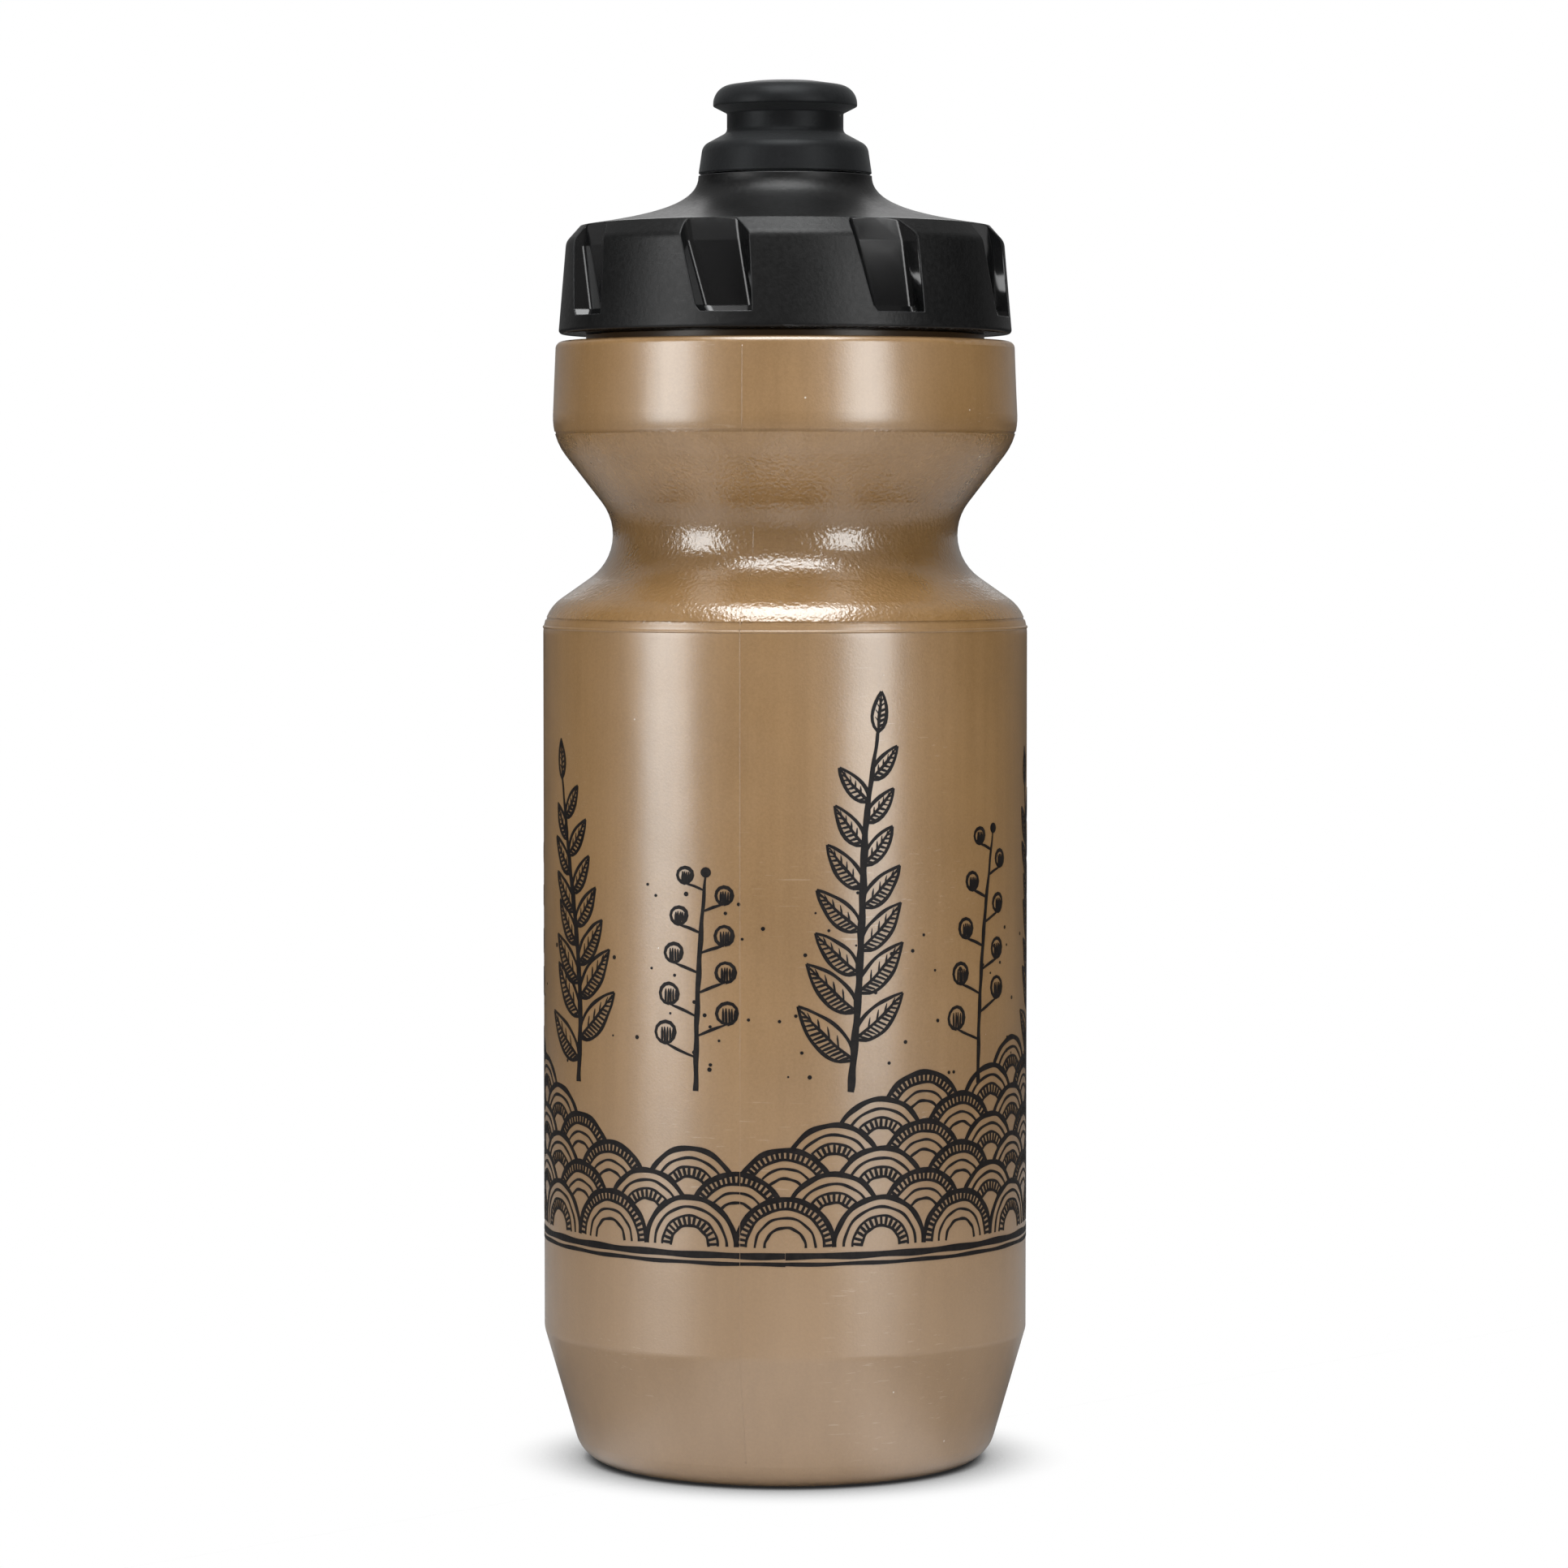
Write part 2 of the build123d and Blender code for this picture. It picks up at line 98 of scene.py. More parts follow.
def wall_radius(angle, height):
    """Radius of the bottle's outer wall at an angle and a height."""
    ray = outward(angle)
    start = ray * OUTSIDE + Vector((0, 0, height))
    hit = body_surface.ray_cast(start, -ray)[0]
    return math.hypot(hit.x, hit.y)


def lid_wall_radius(height):
    """Radius of the lid's outer wall between the scoops at a height."""
    found = 0.0
    rays = 48
    for index in range(rays):
        ray = outward(math.tau * index / rays)
        hit = lid_surface.ray_cast(ray * OUTSIDE + Vector((0, 0, height)), -ray)[0]
        found = max(found, math.hypot(hit.x, hit.y))
    return found


# ---------------------------------------------------------------- shader helpers
def node(tree, kind, inputs=None, **settings):
    """One shader node: settings are its properties, inputs are constants or linked sockets."""
    made = tree.nodes.new(kind)
    for key, value in settings.items():
        setattr(made, key, value)
    for key, value in (inputs or {}).items():
        if isinstance(value, bpy.types.NodeSocket):
            tree.links.new(value, made.inputs[key])
        else:
            made.inputs[key].default_value = value
    return made


def calc(tree, operation, first, second=0.0):
    """Output of a Math node."""
    return node(tree, "ShaderNodeMath", {0: first, 1: second}, operation=operation).outputs[0]


def ramp(tree, value, low, high, to_low=0.0, to_high=1.0):
    """Smooth step of a value from low..high to to_low..to_high."""
    sockets = {0: value, 1: low, 2: high, 3: to_low, 4: to_high}
    return node(tree, "ShaderNodeMapRange", sockets, interpolation_type="SMOOTHSTEP").outputs[0]


def noise(tree, place, scale, detail=2.0, roughness=0.5):
    """Noise value at a scale in waves per metre."""
    sockets = {"Vector": place, "Scale": scale, "Detail": detail, "Roughness": roughness}
    return node(tree, "ShaderNodeTexNoise", sockets).outputs[0]


def blend(tree, share, first, second):
    """Mix of two colours."""
    sockets = {0: share, 6: first, 7: second}
    return node(tree, "ShaderNodeMix", sockets, data_type="RGBA").outputs[2]


def bumped(tree, height, distance, strength=1.0, normal=None):
    """Normal raised by a height pattern; distance is in metres."""
    sockets = {"Height": height, "Distance": distance, "Strength": strength}
    if normal is not None:
        sockets["Normal"] = normal
    return node(tree, "ShaderNodeBump", sockets).outputs[0]


def start_material(name):
    """New material, its tree, its Principled shader and its object coordinates."""
    material = bpy.data.materials.new(name)
    material.use_nodes = True
    tree = material.node_tree
    shader = tree.nodes["Principled BSDF"]
    place = node(tree, "ShaderNodeTexCoord").outputs["Object"]
    return material, tree, shader, place


def feed(tree, shader, sockets):
    """Links each value to the shader's input of that name."""
    for name, value in sockets.items():
        tree.links.new(value, shader.inputs[name])


def specks(tree, place, scale, low, high):
    """One inside small round cells at a scale in cells per metre, falling to nothing round them."""
    cells = node(tree, "ShaderNodeTexVoronoi", {"Vector": place, "Scale": scale}, feature="F1")
    return ramp(tree, cells.outputs["Distance"], low, high, 1.0, 0.0)


def split_place(tree, place):
    """Radius from the axis and height of the shaded point."""
    parts = node(tree, "ShaderNodeSeparateXYZ", {0: place}).outputs
    flat = node(tree, "ShaderNodeCombineXYZ", {0: parts[0], 1: parts[1]}).outputs[0]
    radius = node(tree, "ShaderNodeVectorMath", {0: flat}, operation="LENGTH").outputs["Value"]
    return radius, parts[2]


def weighted(tree, *terms):
    """Sum of values, each times its weight."""
    total = None
    for value, weight in terms:
        term = calc(tree, "MULTIPLY", value, weight)
        total = term if total is None else calc(tree, "ADD", total, term)
    return total


def near_edge(tree, rounded):
    """One along the sharp edges, where the rounded normal leaves the face's own."""
    facing = node(tree, "ShaderNodeNewGeometry").outputs["True Normal"]
    match = node(tree, "ShaderNodeVectorMath", {0: rounded, 1: facing}, operation="DOT_PRODUCT")
    return ramp(tree, match.outputs["Value"], 0.86, 0.97, 1.0, 0.0)


PATCH_SCALE = 38.0


def scratches(tree, place, scale, stretch, angle, keep):
    """Sparse fine scratches: stretched noise, cut to its ridges, kept in patches."""
    sockets = {"Vector": place, "Rotation": (angle, angle * 0.7, angle * 0.4), "Scale": stretch}
    turned = node(tree, "ShaderNodeMapping", sockets).outputs[0]
    lines = ramp(tree, noise(tree, turned, scale, 3.0), 0.66, 0.70)
    patches = ramp(tree, noise(tree, place, PATCH_SCALE, 1.0), keep, keep + 0.12)
    return calc(tree, "MULTIPLY", lines, patches)


# ---------------------------------------------------------------- materials
BODY_DARK = (0.176, 0.092, 0.030, 1)
BODY_LIGHT = (0.230, 0.126, 0.048, 1)
# painted light and shade: floor bounce at the foot, shade in the waist and at the neck's root
BODY_FLOOR_BOUNCE = (0.242, 0.158, 0.096, 1)
BODY_WAIST_SHADE = (0.100, 0.050, 0.016, 1)
BODY_NECK_SHADE = (0.060, 0.032, 0.013, 1)
BODY_SCUFF = (0.50, 0.42, 0.33, 1)
BODY_DUST = (0.74, 0.70, 0.64, 1)
FLOOR_BOUNCE_LOW, FLOOR_BOUNCE_HIGH = 10 * MM, 85 * MM
LID_DARK = (0.0032, 0.0031, 0.0031, 1)
LID_LIGHT = (0.0060, 0.0058, 0.0058, 1)
LID_POLISHED = (0.0035, 0.0035, 0.0036, 1)
# painted highlight colour along the lid's sharp edges
LID_EDGE_HIGHLIGHT = (0.045, 0.044, 0.045, 1)
LID_GLOSS = (1.0, 0.955, 0.935, 1)
RUBBER_DARK = (0.0040, 0.0040, 0.0043, 1)
RUBBER_LIGHT = (0.0070, 0.0069, 0.0074, 1)
RUBBER_DUST = (0.25, 0.24, 0.22, 1)


def body_plastic():
    """Satin pearl bronze polyethylene, mottled, lightly scratched and dusty, with orange peel in
    the grip; painted shade darkens the waist and the neck's root, and a painted floor bounce makes
    it paler towards the foot.
    """
    material, tree, shader, place = start_material("pearl_bronze_plastic")
    radius, height = split_place(tree, place)
    grip_start = ramp(tree, height, GRIP_LOW - 0.4 * MM, GRIP_LOW + 0.4 * MM)
    grip_end = ramp(tree, height, GRIP_HIGH - 0.4 * MM, GRIP_HIGH + 0.4 * MM, 1.0, 0.0)
    grip = calc(tree, "MULTIPLY", grip_start, grip_end)
    speckle = noise(tree, place, 2600.0, 3.0, 0.7)
    mottle = noise(tree, place, 30.0, 3.0)
    drawn = node(tree, "ShaderNodeMapping", {"Vector": place, "Scale": (1.0, 1.0, 0.06)})
    streak = noise(tree, drawn.outputs[0], 420.0, 3.0, 0.6)
    tone = weighted(tree, (speckle, 0.34), (mottle, 0.46), (streak, 0.20))
    pearl = blend(tree, ramp(tree, tone, 0.34, 0.66), BODY_DARK, BODY_LIGHT)
    # painted light: paler towards the foot, where bounce light from the floor falls
    painted_floor_bounce = ramp(tree, height, FLOOR_BOUNCE_LOW, FLOOR_BOUNCE_HIGH, 1.0, 0.0)
    with_floor_bounce = blend(tree, calc(tree, "MULTIPLY", painted_floor_bounce, 0.45), pearl, BODY_FLOOR_BOUNCE)
    rubbed = scratches(tree, place, 55.0, (3.0, 14.0, 60.0), 0.35, 0.52)
    scuffed = blend(tree, calc(tree, "MULTIPLY", rubbed, 0.16), with_floor_bounce, BODY_SCUFF)
    motes = specks(tree, place, 330.0, 0.035, 0.060)
    motes = calc(tree, "MULTIPLY", motes, ramp(tree, noise(tree, place, 210.0, 1.0), 0.64, 0.67))
    dusty = blend(tree, calc(tree, "MULTIPLY", motes, 0.45), scuffed, BODY_DUST)
    # painted shade: darker in the hollow of the waist
    from_waist = calc(tree, "ABSOLUTE", calc(tree, "SUBTRACT", height, WAIST_HEIGHT + 1.0 * MM))
    painted_waist_shade = ramp(tree, from_waist, 3.5 * MM, 9.0 * MM, 0.30, 0.0)
    with_waist_shade = blend(tree, painted_waist_shade, dusty, BODY_WAIST_SHADE)
    # painted shade: the neck's root in the gap under the lid is darkened and loses gloss
    root_start = ramp(tree, height, SHOULDER_HEIGHT - 0.40 * MM, SHOULDER_HEIGHT + 0.06 * MM)
    root_end = ramp(tree, height, lid_low.z + 0.8 * MM, lid_low.z + 2.4 * MM, 1.0, 0.0)
    painted_neck_shade = calc(tree, "MULTIPLY", root_start, root_end)
    shader.inputs["Metallic"].default_value = 0.06
    gloss = ramp(tree, noise(tree, place, 110.0, 3.0), 0.30, 0.70, 0.39, 0.45)
    gloss = calc(tree, "SUBTRACT", gloss, calc(tree, "MULTIPLY", grip, 0.13))
    shader.inputs["Coat IOR"].default_value = 1.60
    peel = calc(tree, "MULTIPLY", noise(tree, place, 1700.0, 1.5, 0.45), grip)
    grain = noise(tree, place, 3200.0, 2.0)
    soft = noise(tree, place, 90.0, 2.0)
    relief = weighted(tree, (peel, 1.1), (grain, 0.16), (soft, 0.8))
    feed(tree, shader, {
        "Base Color": blend(tree, painted_neck_shade, with_waist_shade, BODY_NECK_SHADE),
        "Roughness": calc(tree, "ADD", gloss, calc(tree, "MULTIPLY", rubbed, 0.12)),
        "Specular IOR Level": ramp(tree, painted_neck_shade, 0.0, 1.0, 0.50, 0.20),
        "Coat Weight": ramp(tree, painted_neck_shade, 0.0, 1.0, 1.0, 0.15),
        "Coat Roughness": ramp(tree, grip, 0.0, 1.0, 0.26, 0.17),
        "Normal": bumped(tree, relief, 0.10 * MM),
        "Coat Normal": bumped(tree, relief, 0.07 * MM),
    })
    return material


LID_PROFILE_START = lid_low.z + 0.8 * MM
LID_PROFILE_DROPS = (5.0, 3.2, 2.6, 1.9, 1.2, 0.1)  # below the rim, in mm
LID_HEIGHTS = [LID_PROFILE_START] + [RIM_HEIGHT - drop * MM for drop in LID_PROFILE_DROPS]
LID_PROFILE = [(height, lid_wall_radius(height)) for height in LID_HEIGHTS]
SCOOP_DEPTH_LOW, SCOOP_DEPTH_HIGH = 0.10 * MM, 0.24 * MM
SCOOP_FOOT_LOW, SCOOP_FOOT_HIGH = lid_low.z + 2.5 * MM, lid_low.z + 2.6 * MM
SCOOP_RADIUS_LOW, SCOOP_RADIUS_HIGH = 29.9 * MM, 30.1 * MM


def lid_wall(tree, height):
    """Radius of the lid's unscooped outer wall at a height: the least of its profile's chords."""
    wall = None
    for (low, low_radius), (high, high_radius) in zip(LID_PROFILE, LID_PROFILE[1:]):
        slope = (high_radius - low_radius) / (high - low)
        chord = calc(tree, "ADD", calc(tree, "MULTIPLY", height, slope), low_radius - slope * low)
        wall = chord if wall is None else calc(tree, "MINIMUM", wall, chord)
    return wall


def lid_plastic():
    """Matt black polypropylene with fine spark texture, polished inside the grip scoops, and a
    painted highlight along its sharp edges.
    """
    material, tree, shader, place = start_material("matt_black_lid")
    radius, height = split_place(tree, place)
    inset = calc(tree, "SUBTRACT", lid_wall(tree, height), radius)
    scooped = ramp(tree, inset, SCOOP_DEPTH_LOW, SCOOP_DEPTH_HIGH)
    for limit in (
        ramp(tree, height, SCOOP_FOOT_LOW, SCOOP_FOOT_HIGH),
        ramp(tree, height, RIM_HEIGHT, RIM_HEIGHT + 0.1 * MM, 1.0, 0.0),
        ramp(tree, radius, SCOOP_RADIUS_LOW, SCOOP_RADIUS_HIGH),
    ):
        scooped = calc(tree, "MULTIPLY", scooped, limit)
    underside = ramp(tree, height, lid_low.z + 0.15 * MM, lid_low.z + 0.40 * MM, 1.0, 0.0)
    polished = calc(tree, "MAXIMUM", scooped, underside)
    grain = noise(tree, place, 1500.0, 3.0, 0.6)
    mottle = noise(tree, place, 60.0, 3.0)
    tone = ramp(tree, weighted(tree, (grain, 0.5), (mottle, 0.5)), 0.3, 0.7)
    matt = blend(tree, tone, LID_DARK, LID_LIGHT)
    dull = ramp(tree, tone, 0.0, 1.0, 0.38, 0.46)
    rubbed = scratches(tree, place, 60.0, (10.0, 10.0, 60.0), 0.6, 0.5)
    edge = node(tree, "ShaderNodeBevel", {"Radius": 0.25 * MM}, samples=6).outputs[0]
    # painted highlight: lighter colour and lower roughness along the sharp edges
    painted_edge_highlight = near_edge(tree, edge)
    dull = calc(tree, "SUBTRACT", dull, weighted(tree, (rubbed, 0.10), (painted_edge_highlight, 0.14)))
    mixed = node(tree, "ShaderNodeMix", {0: polished, 2: dull, 3: 0.14}, data_type="FLOAT")
    shade = blend(tree, polished, matt, LID_POLISHED)
    textured = calc(tree, "SUBTRACT", 1.0, polished)
    texture = weighted(tree, (grain, 1.0), (noise(tree, place, 260.0, 2.0), 0.5))
    relief = calc(tree, "MULTIPLY", texture, textured)
    shader.inputs["Specular Tint"].default_value = LID_GLOSS
    feed(tree, shader, {
        "Base Color": blend(tree, calc(tree, "MULTIPLY", painted_edge_highlight, 0.8), shade, LID_EDGE_HIGHLIGHT),
        "Roughness": mixed.outputs[0],
        "Specular IOR Level": ramp(tree, polished, 0.0, 1.0, 0.24, 0.42),
        "Normal": bumped(tree, relief, 0.035 * MM, 1.0, edge),
    })
    return material


def soft_rubber():
    """Matt black elastomer of the mouthpiece with a fine bloom and a few dust specks."""
    material, tree, shader, place = start_material("soft_black_rubber")
    grain = noise(tree, place, 1900.0, 3.0, 0.6)
    bloom = noise(tree, place, 120.0, 3.0)
    tone = ramp(tree, weighted(tree, (grain, 0.4), (bloom, 0.6)), 0.3, 0.7)
    black = blend(tree, tone, RUBBER_DARK, RUBBER_LIGHT)
    dust = specks(tree, place, 420.0, 0.05, 0.09)
    dust = calc(tree, "MULTIPLY", dust, ramp(tree, noise(tree, place, 300.0, 1.0), 0.60, 0.64))
    shader.inputs["Specular IOR Level"].default_value = 0.12
    shader.inputs["Sheen Weight"].default_value = 0.06
    shader.inputs["Sheen Roughness"].default_value = 0.5
    feed(tree, shader, {
        "Base Color": blend(tree, calc(tree, "MULTIPLY", dust, 0.5), black, RUBBER_DUST),
        "Roughness": ramp(tree, tone, 0.0, 1.0, 0.44, 0.52),
        "Normal": bumped(tree, grain, 0.03 * MM),
    })
    return material


def hidden_plastic(name, dark, light, roughness):
    """Smooth moulded plastic of the inner pieces with faint flow mottling."""
    material, tree, shader, place = start_material(name)
    flow = noise(tree, place, 140.0, 4.0)
    grain = noise(tree, place, 1800.0, 2.0)
    feed(tree, shader, {
        "Base Color": blend(tree, ramp(tree, flow, 0.3, 0.7), dark, light),
        "Roughness": ramp(tree, flow, 0.3, 0.7, roughness, roughness + 0.08),
        "Normal": bumped(tree, grain, 0.02 * MM),
    })
    return material


def clear_silicone():
    """Milky silicone of the slit valve."""
    material, tree, shader, place = start_material("milky_silicone")
    cloud = noise(tree, place, 200.0, 3.0)
    dark, light = (0.55, 0.55, 0.53, 1), (0.68, 0.68, 0.65, 1)
    shader.inputs["Subsurface Weight"].default_value = 0.25
    shader.inputs["Subsurface Scale"].default_value = 0.8 * MM
    feed(tree, shader, {
        "Base Color": blend(tree, ramp(tree, cloud, 0.3, 0.7), dark, light),
        "Roughness": ramp(tree, cloud, 0.3, 0.7, 0.30, 0.42),
        "Normal": bumped(tree, noise(tree, place, 1500.0), 0.02 * MM),
    })
    return material


def print_ink():
    """Screen-printed black ink, slightly uneven where it lies thin."""
    material, tree, shader, place = start_material("printed_black_ink")
    thin = noise(tree, place, 700.0, 4.0, 0.65)
    dark, light = (0.0055, 0.0042, 0.0040, 1), (0.0120, 0.0090, 0.0080, 1)
    shader.inputs["Specular IOR Level"].default_value = 0.13
    feed(tree, shader, {
        "Base Color": blend(tree, ramp(tree, thin, 0.35, 0.75), dark, light),
        "Roughness": ramp(tree, thin, 0.3, 0.7, 0.42, 0.55),
        "Normal": bumped(tree, thin, 0.008 * MM),
    })
    return material


BODY = body_plastic()
LID = lid_plastic()
RUBBER = soft_rubber()
CORE = hidden_plastic(
    "black_core_plastic", (0.018, 0.018, 0.019, 1), (0.030, 0.030, 0.031, 1), 0.34)
POST = hidden_plastic(
    "grey_post_plastic", (0.045, 0.045, 0.048, 1), (0.070, 0.070, 0.073, 1), 0.36)
SEAL = hidden_plastic(
    "dark_seal_rubber", (0.030, 0.030, 0.030, 1), (0.050, 0.049, 0.048, 1), 0.50)
SILICONE = clear_silicone()
INK = print_ink()

for node_name, material in {
    "bottle_body": BODY,
    "lid_shell": LID,
    "mouthpiece": RUBBER,
    "nozzle_core": CORE,
    "closing_post": POST,
    "valve_retainer": POST,
    "lid_gasket": SEAL,
    "nozzle_o_ring": SEAL,
    "slit_valve": SILICONE,
}.items():
    piece = frame["nodes"][node_name]
    piece.data.materials.clear()
    piece.data.materials.append(material)


# ---------------------------------------------------------------- mould seams
def add_piece(name, corners, faces, material, body, smooth=True):
    """A mesh piece that rides on a body."""
    mesh = bpy.data.meshes.new(name)
    mesh.from_pydata(corners, [], faces)
    shape = bmesh.new()
    shape.from_mesh(mesh)
    bmesh.ops.recalc_face_normals(shape, faces=shape.faces)
    shape.to_mesh(mesh)
    shape.free()
    mesh.materials.append(material)
    mesh.polygons.foreach_set("use_smooth", [smooth] * len(mesh.polygons))
    made = bpy.data.objects.new(name, mesh)
    bpy.context.scene.collection.objects.link(made)
    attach(made, body)
    return made


def tube_faces(first, rings, sides):
    """Side faces of a tube whose rings of corners follow one another, without its ends."""
    faces = []
    for base in range(first, first + sides * (rings - 1), sides):
        for edge in range(sides):
            following = (edge + 1) % sides
            above = base + sides
            faces.append((base + edge, base + following, above + following, above + edge))
    return faces


SEAM_LOW = 4.2 * MM
SEAM_HIGH = 169.8 * MM
SEAM_STEP = 0.5 * MM
SEAM_HALF_WIDTH = 0.16 * MM
SEAM_PROUD = 0.07 * MM
SEAM_SUNK = 0.10 * MM


def parting_line(name, angle):
    """Fine raised line up the wall where the mould halves met: a closed triangular strip."""
    corners = []
    steps = int((SEAM_HIGH - SEAM_LOW) / SEAM_STEP)
    for index in range(steps + 1):
        height = SEAM_LOW + (SEAM_HIGH - SEAM_LOW) * index / steps
        radius = wall_radius(angle, height)
        side = SEAM_HALF_WIDTH / radius
        sunk, proud = radius - SEAM_SUNK, radius + SEAM_PROUD
        for turn, reach in ((-side, sunk), (0, proud), (side, sunk)):
            corners.append(outward(angle + turn) * reach + Vector((0, 0, height)))
    faces = tube_faces(0, steps + 1, 3)
    faces.append((2, 1, 0))
    faces.append((steps * 3, steps * 3 + 1, steps * 3 + 2))
    return add_piece(name, corners, faces, BODY, "bottle")


for label, turn in {"front": 0.0, "back": math.pi}.items():
    parting_line(f"mould_seam_{label}", SEAM_ANGLE + turn)

PINCH_REACH = 20.0 * MM
PINCH_HALF_WIDTH = 0.9 * MM
PINCH_PROUD = 0.45 * MM
PINCH_SUNK = 0.1 * MM
PINCH_STEPS = 60


def pinch_off_line(angle):
    """Raised line across the underside where the mould pinched the tube shut."""
    corners = []
    up = Vector((0, 0, 1))
    aside = outward(angle + math.pi / 2) * PINCH_HALF_WIDTH
    ridge = aside * 0.4
    section = (
        (-aside, -PINCH_SUNK), (-ridge, PINCH_PROUD), (ridge, PINCH_PROUD), (aside, -PINCH_SUNK))
    for index in range(PINCH_STEPS + 1):
        middle = outward(angle) * PINCH_REACH * (2 * index / PINCH_STEPS - 1)
        hit = body_surface.ray_cast(middle - up * OUTSIDE, up)[0]
        for offset, drop in section:
            corners.append(middle + offset + up * (hit.z - drop))
    faces = tube_faces(0, PINCH_STEPS + 1, 4)
    faces.append((3, 2, 1, 0))
    faces.append(tuple(range(PINCH_STEPS * 4, PINCH_STEPS * 4 + 4)))
    return add_piece("pinch_off_line", corners, faces, BODY, "bottle")


pinch_off_line(SEAM_ANGLE)


# ---------------------------------------------------------------- printed design
INK_PROUD = 0.04 * MM
INK_SUNK = 0.06 * MM
PEN_STEP = 0.7
PEN_WEIGHT = 1.3
PEN_SHAKE = 0.04
RIBBON_SECTION = ((1, INK_PROUD), (0, INK_PROUD), (-1, INK_PROUD), (-1, -INK_SUNK), (1, -INK_SUNK))
BARREL_ROUND = 2 * math.pi * BARREL_RADIUS / MM
draw = random.Random(11)


def ribbon(sheet, run, half_widths):
    """Closed thin ribbon of ink along (around, up) points, in mm on the barrel."""
    corners, faces = sheet
    first = len(corners)
    for index, (across, up) in enumerate(run):
        before, after = run[max(index - 1, 0)], run[min(index + 1, len(run) - 1)]
        along = Vector((after[0] - before[0], after[1] - before[1])).normalized()
        for side, reach in RIBBON_SECTION:
            shift = side * half_widths[index]
            angle = (across - along.y * shift) * MM / BARREL_RADIUS
            height = (up + along.x * shift) * MM
            corners.append(outward(angle) * (BARREL_RADIUS + reach) + Vector((0, 0, height)))
    sides = len(RIBBON_SECTION)
    last = first + sides * (len(run) - 1)
    faces.extend(tube_faces(first, len(run), sides))
    faces.append(tuple(range(first + sides - 1, first - 1, -1)))
    faces.append(tuple(range(last, last + sides)))


def between(before, start, end, after, share):
    """Point at a share of the way on a Catmull-Rom curve from start to end."""
    return tuple(
        0.5 * (2 * q + (r - p) * share + (2 * p - 5 * q + 4 * r - s) * share ** 2
               + (3 * q - p - 3 * r + s) * share ** 3)
        for p, q, r, s in zip(before, start, end, after))


def smooth_run(points, step=PEN_STEP):
    """Even points on a smooth line through the given ones."""
    padded = [points[0]] + list(points) + [points[-1]]
    run = []
    for a, b, c, d in zip(padded, padded[1:], padded[2:], padded[3:]):
        pieces = max(1, round(math.dist(b, c) / step))
        for index in range(pieces):
            run.append(between(a, b, c, d, index / pieces))
    return run + [tuple(points[-1])]


def pen(sheet, points, width, start=0.5, end=0.35, step=PEN_STEP):
    """Hand-drawn stroke: a slightly unsteady line, fullest in its middle."""
    run = smooth_run(points, step)
    phase = draw.uniform(0, 6.28)
    count = len(run) - 1
    widths = []
    for index, (across, up) in enumerate(run):
        share = index / count
        run[index] = (
            across + PEN_SHAKE * math.sin(index * 0.9 + phase),
            up + PEN_SHAKE * math.sin(index * 0.7 + phase * 2),
        )
        if share < 0.5:
            edge = start + (1 - start) * min(1, share * 4)
        else:
            edge = end + (1 - end) * min(1, (1 - share) * 3)
        pressure = 1 + 0.12 * math.sin(index * 0.8 + phase * 3)
        widths.append(0.5 * PEN_WEIGHT * width * edge * pressure)
    ribbon(sheet, run, widths)


def dot(sheet, centre, radius):
    """Small round blot."""
    count = 7
    run, widths = [], []
    for index in range(count):
        across = -math.cos(math.pi * index / (count - 1))
        run.append((centre[0] + radius * across, centre[1]))
        widths.append(radius * max(0.12, math.sqrt(1 - across * across)))
    ribbon(sheet, run, widths)


def leaf(sheet, root, angle, length, width, hatch_side, curl=0.0):
    """Pointed leaf with a midrib, close hatching on one half and a few veins on the other."""
    forward = (math.sin(angle), math.cos(angle))
    sideways = (math.cos(angle), -math.sin(angle))

    def at(share, off):
        """Point of the leaf at a share of its length and a distance off its midrib."""
        bend = curl * length * share * share
        return (root[0] + forward[0] * length * share + sideways[0] * (off + bend),
                root[1] + forward[1] * length * share + sideways[1] * (off + bend))

    def half_width(share):
        """Half width of the leaf at a share of its length."""
        return width * math.sin(math.pi * share ** 0.8) ** 0.85 if 0 < share < 1 else 0.0

    shares = [index / 8 for index in range(9)]
    for side in (1, -1):
        pen(sheet, [at(share, side * half_width(share)) for share in shares], 0.42, 0.8, 0.7)
    pen(sheet, [at(share, 0) for share in (0, 0.3, 0.6, 0.93)], 0.36, 0.9, 0.4)
    lines = max(4, round(length / 0.72))
    for index in range(1, lines):
        share = index / lines
        tip = min(0.97, share + 0.09)
        reach = hatch_side * half_width(tip) * draw.uniform(0.82, 1.0)
        pen(sheet, [at(share, 0), at(tip, reach)], 0.30, 0.9, 0.5)
    for share in (0.25, 0.42, 0.58, 0.74):
        tip = share + 0.12
        pen(sheet, [at(share, 0), at(tip, -hatch_side * half_width(tip) * 0.6)], 0.22, 0.9, 0.3)


def leafy_sprig(sheet, across, foot, top, lean, pairs):
    """Upright branch with leaves in turn to the left and the right, smaller to the top."""
    rise = top - foot
    stem = [(across + lean * t * t + 0.8 * math.sin(t * 5), foot + rise * t)
            for t in (0, 0.25, 0.5, 0.75, 1)]
    stem_run = smooth_run(stem)
    pen(sheet, stem, 0.85, 1.0, 0.4)
    for index in range(pairs * 2):
        t = 0.10 + 0.82 * index / (pairs * 2)
        side = 1 if index % 2 else -1
        root = stem_run[round(t * (len(stem_run) - 1))]
        length = (11.5 - 6.0 * t) * draw.uniform(0.92, 1.06)
        turn = side * math.radians(58 - 18 * t + draw.uniform(-5, 5))
        leaf(sheet, root, turn, length, length * 0.19, side, -side * 0.10)
    leaf(sheet, stem[-1], math.radians(lean), 6.0, 1.15, 1)


